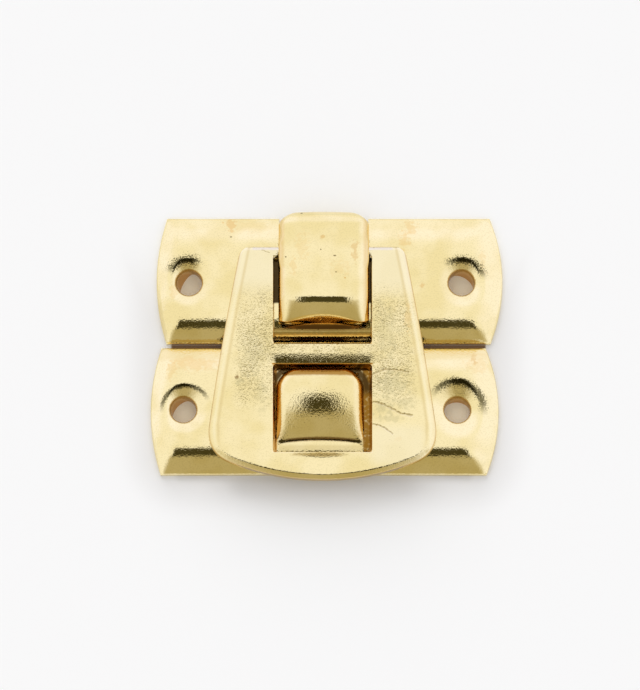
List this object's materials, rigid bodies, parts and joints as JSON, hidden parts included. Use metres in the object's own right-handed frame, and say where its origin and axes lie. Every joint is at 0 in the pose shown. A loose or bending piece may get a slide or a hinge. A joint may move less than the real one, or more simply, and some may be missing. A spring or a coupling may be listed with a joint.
{
  "type": "box hasp",
  "caption": "Small brass-finished box hasp: a swinging plate with windows turns under a folded tongue and drops over a raised keeper to hold a lid shut.",
  "frame": {"origin": "midway between the upper plate's two screw holes, on the face that lies on the box", "axes": "+X along the plates to the right as seen from the front, +Y up from the box towards its lid, +Z out of the box towards the hand"},
  "size_m": [0.0322, 0.0252, 0.0036],
  "materials": {
    "plate_brass": "bright polished brass plating, lacquered, with fine handling scratches",
    "hasp_brass": "bright polished brass plating with a slightly grained, dented face and a coined edge"
  },
  "bodies": {
    "lid_plate": {"upper_plate": "plate_brass"},
    "swing": {"hasp": "hasp_brass"},
    "box_plate": {"lower_plate": "plate_brass"}
  },
  "joints": [
    {"name": "hasp_swing", "type": "hinge", "parent": "lid_plate", "child": "swing", "pos_m": [-0.00025, 0.00265, 0.0021], "axis": [-1, 0, 0], "range_deg": [0, 180]},
    {"name": "box_plate_pull", "type": "slide", "parent": "lid_plate", "child": "box_plate", "axis": [0, 0, -1], "range_m": [0, 0.005]}
  ]
}
